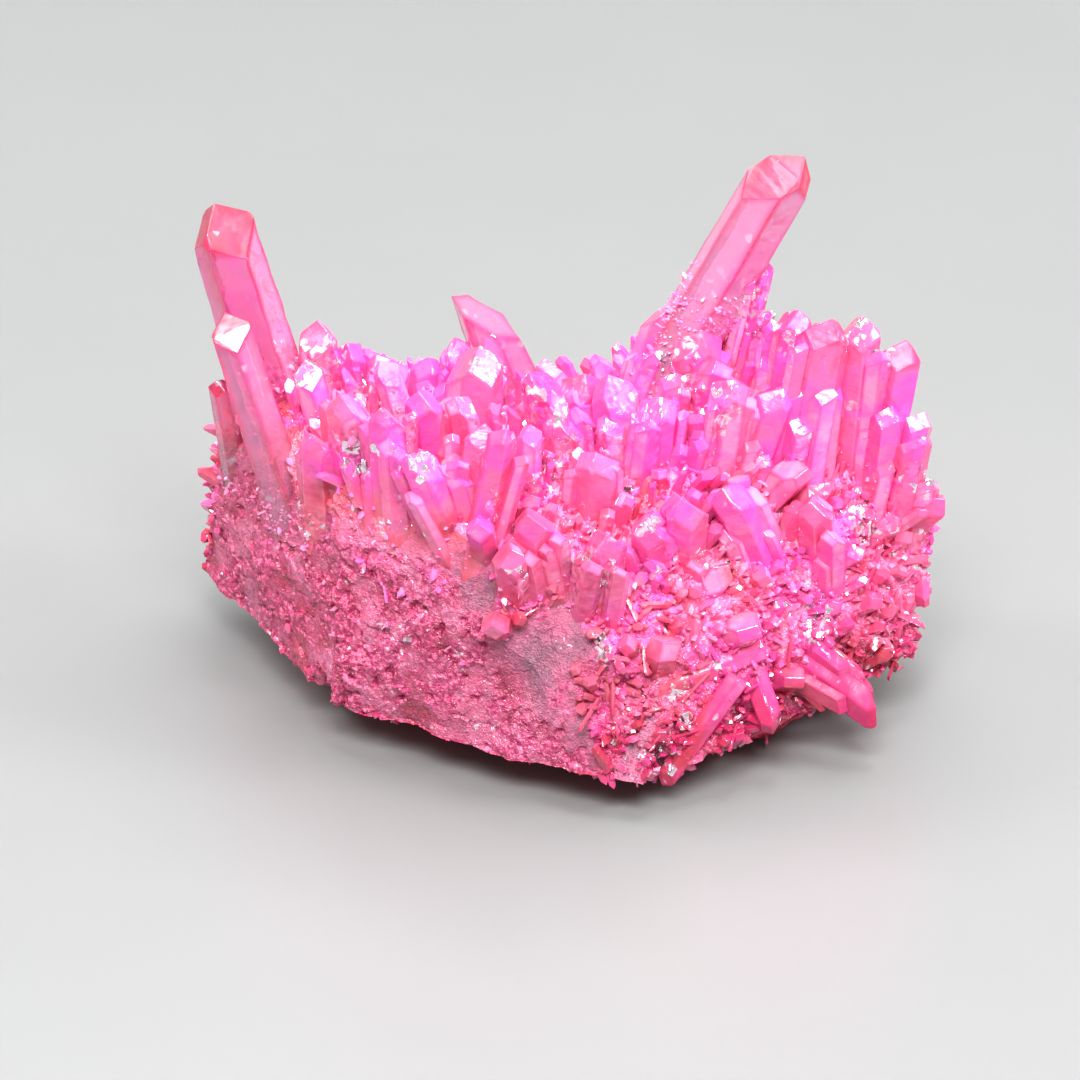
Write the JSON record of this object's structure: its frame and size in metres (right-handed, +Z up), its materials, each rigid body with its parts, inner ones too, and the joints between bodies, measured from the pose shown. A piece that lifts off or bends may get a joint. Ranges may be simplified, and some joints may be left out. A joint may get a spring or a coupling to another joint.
{
  "type": "aura quartz crystal cluster",
  "caption": "Pink coated quartz cluster: a broken rock base crowded with six-sided points, with a tall slanting point standing up at each end.",
  "frame": {"origin": "on the flat broken foot that the cluster rests on, below the middle of the rock", "axes": "+X along the long side towards the end with the tallest point, +Y towards the broken back, +Z up"},
  "size_m": [0.0907, 0.0521, 0.0678],
  "materials": {
    "coated_quartz": "glossy vapour-coated quartz, clear in the tall points and milky in the rock"
  },
  "bodies": {
    "root": {"aura_quartz_cluster": "coated_quartz"}
  },
  "joints": []
}
